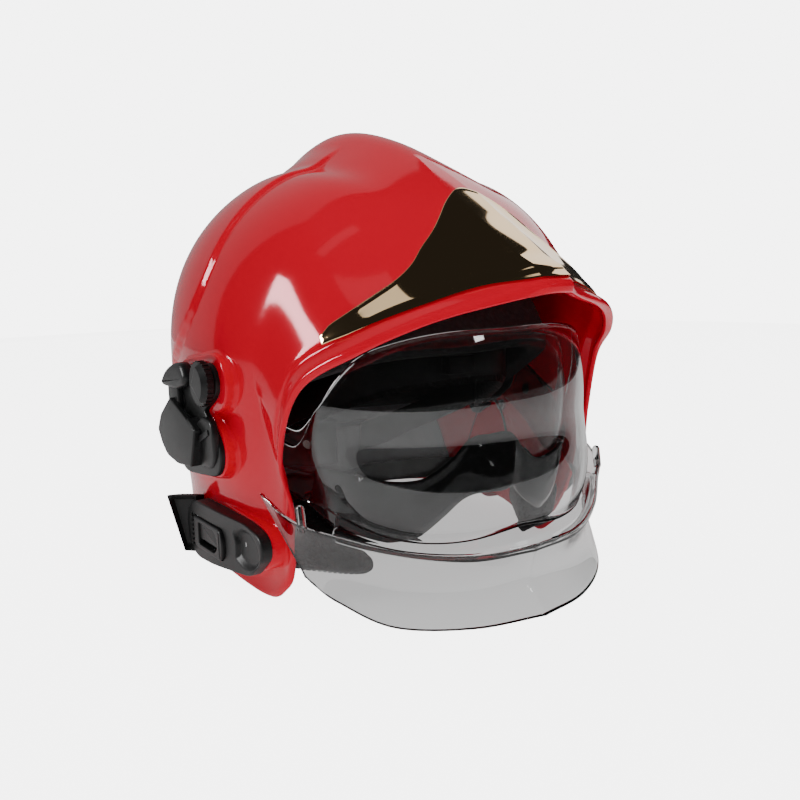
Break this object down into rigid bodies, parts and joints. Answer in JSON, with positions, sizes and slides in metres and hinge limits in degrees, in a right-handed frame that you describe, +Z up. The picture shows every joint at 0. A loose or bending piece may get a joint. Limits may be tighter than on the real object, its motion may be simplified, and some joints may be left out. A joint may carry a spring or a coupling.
{
  "type": "fire helmet",
  "caption": "Jet-style fire helmet with a crested red shell, gilt frontal plate, flip-down clear face and eye shields, lamp holder, mask anchors and an adjustable head harness.",
  "frame": {"origin": "middle of the box that holds the helmet, on the plane it stands on", "axes": "+Z up, -Y towards the wearer's front, +X towards the wearer's left"},
  "size_m": [0.264, 0.3112, 0.2647],
  "materials": {
    "red_gloss": "clear-coated signal red, high gloss",
    "gilt": "mirror gilt, slightly bronze",
    "foam": "matt rigid foam",
    "webbing": "woven polyester",
    "black_satin": "satin moulded nylon",
    "pad_leather": "grained black leather",
    "lining": "grey knitted cloth",
    "steel": "plain turned",
    "acetal": "natural",
    "clear": "clear hard-coated polycarbonate",
    "clear_eye": "clear hard-coated polycarbonate",
    "black_gloss": "high gloss black"
  },
  "bodies": {
    "shell": {"outer_shell": "red_gloss", "frontal_plate": "gilt", "impact_liner": "foam", "crown_cradle": "webbing", "cradle_clips": "black_satin", "brow_pad": "pad_leather", "cheek_pad_left": "pad_leather", "cheek_pad_right": "pad_leather", "neck_lining": "lining", "headband": "black_satin", "carrier_left": "black_satin", "carrier_right": "black_satin", "hinge_studs": "steel", "hinge_washers": "acetal", "carrier_screws": "steel", "lamp_base": "black_satin", "lamp_bolt": "steel", "lamp_pin": "steel", "fitting_screws": "steel", "blank_cap": "red_gloss", "anchor_left": "black_satin", "anchor_right": "black_satin", "funnel_left": "black_satin", "funnel_right": "black_satin", "latch_pins": "steel", "latch_springs": "steel", "dial_housing": "black_satin", "strap_left": "webbing", "strap_right": "webbing", "strap_buckle": "black_satin", "strap_plates": "steel"},
    "face_shield": {"face_shield": "clear", "edge_stops": "clear"},
    "eye_shield": {"eye_shield": "clear_eye", "nose_guard": "black_gloss", "guard_rivets": "steel"},
    "lamp_arm": {"lamp_arm": "black_satin"},
    "lamp_knob": {"lamp_knob": "black_satin"},
    "latch_left": {"latch_left": "black_satin"},
    "latch_right": {"latch_right": "black_satin"},
    "dial": {"dial_knob": "black_satin", "dial_pinion": "acetal"},
    "rack_left": {"rack_left": "black_satin"},
    "rack_right": {"rack_right": "black_satin"}
  },
  "joints": [
    {"name": "face_shield_hinge", "type": "hinge", "parent": "shell", "child": "face_shield", "pos_m": [0, 0.01383, 0.1046], "axis": [-1, 0, 0], "range_deg": [0, 42]},
    {"name": "eye_shield_hinge", "type": "hinge", "parent": "shell", "child": "eye_shield", "pos_m": [0, 0.01383, 0.1046], "axis": [-1, 0, 0], "range_deg": [0, 45]},
    {"name": "lamp_arm_hinge", "type": "hinge", "parent": "shell", "child": "lamp_arm", "pos_m": [-0.126, 0.03483, 0.0926], "axis": [-1, 0, 0], "range_deg": [0, 50]},
    {"name": "lamp_knob_turn", "type": "hinge", "parent": "shell", "child": "lamp_knob", "pos_m": [-0.128, -0.00617, 0.1221], "axis": [-1, 0, 0], "range_deg": [0, 270]},
    {"name": "latch_left_press", "type": "hinge", "parent": "shell", "child": "latch_left", "pos_m": [0.12, 0.02583, 0.02885], "axis": [0, 0, -1], "range_deg": [0, 4], "stiffness_Nm_per_rad": 0.05, "springref_deg": -8.59},
    {"name": "latch_right_press", "type": "hinge", "parent": "shell", "child": "latch_right", "pos_m": [-0.12, 0.02583, 0.02885], "axis": [0, 0, 1], "range_deg": [0, 4], "stiffness_Nm_per_rad": 0.05, "springref_deg": -8.59},
    {"name": "dial_turn", "type": "hinge", "parent": "shell", "child": "dial", "pos_m": [0, 0.11883, 0.0486], "axis": [0, 1, 0], "range_deg": [-60, 120]},
    {"name": "rack_left_slide", "type": "slide", "parent": "shell", "child": "rack_left", "axis": [1, 0, 0], "range_m": [-0.0064, 0.0127]},
    {"name": "rack_right_slide", "type": "slide", "parent": "shell", "child": "rack_right", "axis": [-1, 0, 0], "range_m": [-0.0064, 0.0127]}
  ],
  "couplings": [
    {"joint": "rack_left_slide", "follows": "dial_turn", "m_per_rad": 0.006},
    {"joint": "rack_right_slide", "follows": "dial_turn", "m_per_rad": 0.006}
  ]
}
